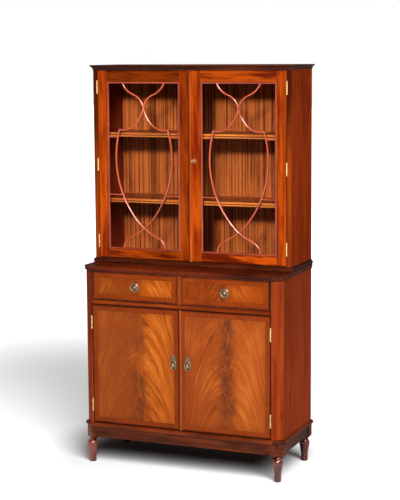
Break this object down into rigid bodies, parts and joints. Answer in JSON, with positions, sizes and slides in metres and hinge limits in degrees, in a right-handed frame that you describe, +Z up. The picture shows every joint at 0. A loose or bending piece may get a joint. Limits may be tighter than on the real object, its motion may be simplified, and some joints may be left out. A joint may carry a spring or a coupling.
{
  "type": "display cabinet",
  "caption": "Display cabinet: glazed upper case with interlaced glazing bars, deeper cupboard base with drawers over doors, canted corners, short turned legs.",
  "frame": {"origin": "on the floor, at the centre of the overall width and depth, under the cabinet", "axes": "+Z up, +X to the viewer's right when facing the doors, -Y out of the doors towards the viewer"},
  "size_m": [0.992, 0.435, 1.84],
  "materials": {
    "mahogany": "French polished",
    "mahogany_side": "French polished",
    "mahogany_moulding": "French polished",
    "flame_veneer": "French polished crotch veneer",
    "stripe_veneer": "polished ribbon-striped veneer",
    "lining_wood": "sanded, unpolished",
    "pane": "clear",
    "brass": "aged, lightly polished",
    "hinge_brass": "polished",
    "steel": "polished"
  },
  "bodies": {
    "carcass": {"cornice": "mahogany_moulding", "upper_top_board": "mahogany_moulding", "upper_left_side": "mahogany_side", "upper_right_side": "mahogany_side", "upper_bottom_board": "mahogany", "upper_back_panel": "stripe_veneer", "display_shelves": "mahogany", "shelf_studs": "hinge_brass", "waist_moulding": "mahogany_moulding", "joining_screws": "steel", "base_top_board": "mahogany_moulding", "base_left_side": "mahogany_side", "base_right_side": "mahogany_side", "corner_posts": "mahogany", "base_back_panel": "lining_wood", "base_bottom_board": "lining_wood", "front_rail": "mahogany", "drawer_divider": "mahogany", "dust_board": "lining_wood", "drawer_guides": "lining_wood", "cupboard_shelf": "mahogany", "plinth_moulding": "mahogany_moulding", "aprons": "mahogany_side", "corner_blocks": "mahogany_side", "front_legs": "mahogany_side", "rear_legs": "mahogany_side", "case_hinge_leaves": "hinge_brass", "hinge_pins": "hinge_brass", "door_catches": "steel"},
    "glazed_left_door": {"glazed_left_frame": "mahogany", "glazed_left_beads": "mahogany", "glazed_left_tracery": "mahogany", "glazed_left_glass": "pane", "glazed_left_hinge_leaves": "hinge_brass"},
    "cupboard_left_door": {"cupboard_left_panel": "flame_veneer", "cupboard_left_hinge_leaves": "hinge_brass", "cupboard_left_pull_plate": "brass"},
    "cupboard_left_drop_ring": {"cupboard_left_drop": "brass"},
    "drawer_left": {"drawer_left_front": "flame_veneer", "drawer_left_box": "lining_wood", "drawer_left_pull_plate": "brass"},
    "drawer_left_pull_ring": {"drawer_left_ring": "brass"},
    "glazed_right_door": {"glazed_right_frame": "mahogany", "glazed_right_beads": "mahogany", "glazed_right_tracery": "mahogany", "glazed_right_glass": "pane", "glazed_right_hinge_leaves": "hinge_brass", "glazed_meeting_bead": "mahogany", "door_lock": "hinge_brass"},
    "cupboard_right_door": {"cupboard_right_panel": "flame_veneer", "cupboard_right_hinge_leaves": "hinge_brass", "cupboard_right_pull_plate": "brass", "cupboard_meeting_bead": "mahogany"},
    "cupboard_right_drop_ring": {"cupboard_right_drop": "brass"},
    "drawer_right": {"drawer_right_front": "flame_veneer", "drawer_right_box": "lining_wood", "drawer_right_pull_plate": "brass"},
    "drawer_right_pull_ring": {"drawer_right_ring": "brass"},
    "key": {"door_key": "steel"}
  },
  "joints": [
    {"name": "glazed_left_door_hinges", "type": "hinge", "parent": "carcass", "child": "glazed_left_door", "pos_m": [-0.46125, -0.0685, 1.38425], "axis": [0, 0, -1], "range_deg": [0, 165]},
    {"name": "cupboard_left_door_hinges", "type": "hinge", "parent": "carcass", "child": "cupboard_left_door", "pos_m": [-0.43625, -0.2085, 0.475], "axis": [0, 0, -1], "range_deg": [0, 165]},
    {"name": "cupboard_left_drop_pivot", "type": "hinge", "parent": "cupboard_left_door", "child": "cupboard_left_drop_ring", "pos_m": [-0.02975, -0.2103, 0.519], "axis": [-1, 0, 0], "range_deg": [0, 100]},
    {"name": "drawer_left_runners", "type": "slide", "parent": "carcass", "child": "drawer_left", "axis": [0, -1, 0], "range_m": [0, 0.3]},
    {"name": "drawer_left_ring_pivot", "type": "hinge", "parent": "drawer_left", "child": "drawer_left_pull_ring", "pos_m": [-0.21925, -0.2103, 0.857], "axis": [-1, 0, 0], "range_deg": [0, 100]},
    {"name": "glazed_right_door_hinges", "type": "hinge", "parent": "carcass", "child": "glazed_right_door", "pos_m": [0.46125, -0.0685, 1.38425], "axis": [0, 0, 1], "range_deg": [0, 165]},
    {"name": "cupboard_right_door_hinges", "type": "hinge", "parent": "carcass", "child": "cupboard_right_door", "pos_m": [0.43625, -0.2085, 0.475], "axis": [0, 0, 1], "range_deg": [0, 165]},
    {"name": "cupboard_right_drop_pivot", "type": "hinge", "parent": "cupboard_right_door", "child": "cupboard_right_drop_ring", "pos_m": [0.04075, -0.2103, 0.519], "axis": [-1, 0, 0], "range_deg": [0, 100]},
    {"name": "drawer_right_runners", "type": "slide", "parent": "carcass", "child": "drawer_right", "axis": [0, -1, 0], "range_m": [0, 0.3]},
    {"name": "drawer_right_ring_pivot", "type": "hinge", "parent": "drawer_right", "child": "drawer_right_pull_ring", "pos_m": [0.21925, -0.2103, 0.857], "axis": [-1, 0, 0], "range_deg": [0, 100]},
    {"name": "key_turn", "type": "hinge", "parent": "glazed_right_door", "child": "key", "pos_m": [0.02075, -0.0645, 1.41225], "axis": [0, 1, 0], "range_deg": [0, 90]}
  ]
}
